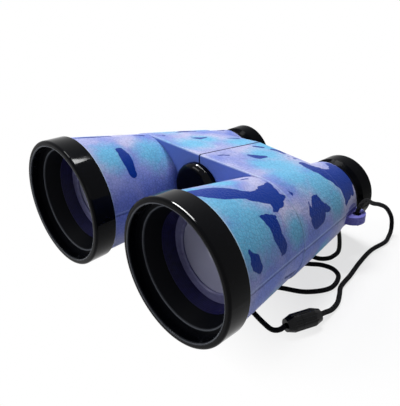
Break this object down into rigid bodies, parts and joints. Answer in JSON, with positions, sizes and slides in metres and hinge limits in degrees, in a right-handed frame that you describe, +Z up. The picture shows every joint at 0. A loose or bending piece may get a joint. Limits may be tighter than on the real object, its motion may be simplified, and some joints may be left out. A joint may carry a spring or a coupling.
{
  "type": "toy binoculars",
  "caption": "Child's toy binoculars with tapered camouflage-print barrels on a centre hinge, a knob, flared eyecups and a neck cord with a barrel clasp.",
  "frame": {"origin": "on the standing surface, under the middle of the body", "axes": "+X across, towards the right half; +Y from the objectives to the eyecups; +Z up"},
  "size_m": [0.1354, 0.1536, 0.056],
  "materials": {
    "printed_shell": "satin print",
    "gloss_black": "gloss",
    "violet_cell": "satin",
    "lens": "clear",
    "satin_black": "satin",
    "steel": "plain",
    "cord": "woven"
  },
  "bodies": {
    "right_half": {"right_upper_shell": "printed_shell", "right_lower_shell": "printed_shell", "right_objective_ring": "gloss_black", "right_lens_cell": "violet_cell", "right_objective_lens": "lens", "right_lens_retainer": "violet_cell", "right_eyepiece_tube": "satin_black", "right_eye_lens": "lens", "right_eyecup": "satin_black", "right_shell_screws": "steel", "hinge_pin": "steel", "pin_retainer": "satin_black", "knob_washer": "steel", "clasp_socket": "satin_black", "clasp_plug": "satin_black", "right_cord": "cord", "left_cord": "cord", "right_knot": "cord"},
    "left_half": {"left_upper_shell": "printed_shell", "left_lower_shell": "printed_shell", "left_objective_ring": "gloss_black", "left_lens_cell": "violet_cell", "left_objective_lens": "lens", "left_lens_retainer": "violet_cell", "left_eyepiece_tube": "satin_black", "left_eye_lens": "lens", "left_eyecup": "satin_black", "left_shell_screws": "steel", "left_cord_end": "cord", "left_knot": "cord"},
    "knob": {"focus_knob": "gloss_black"}
  },
  "joints": [
    {"name": "fold", "type": "hinge", "parent": "right_half", "child": "left_half", "pos_m": [0, 0, 0.0323], "axis": [0, -1, 0], "range_deg": [0, 30]},
    {"name": "knob_turn", "type": "hinge", "parent": "right_half", "child": "knob", "pos_m": [0, 0, 0.0323], "axis": [0, 1, 0], "continuous": true}
  ]
}
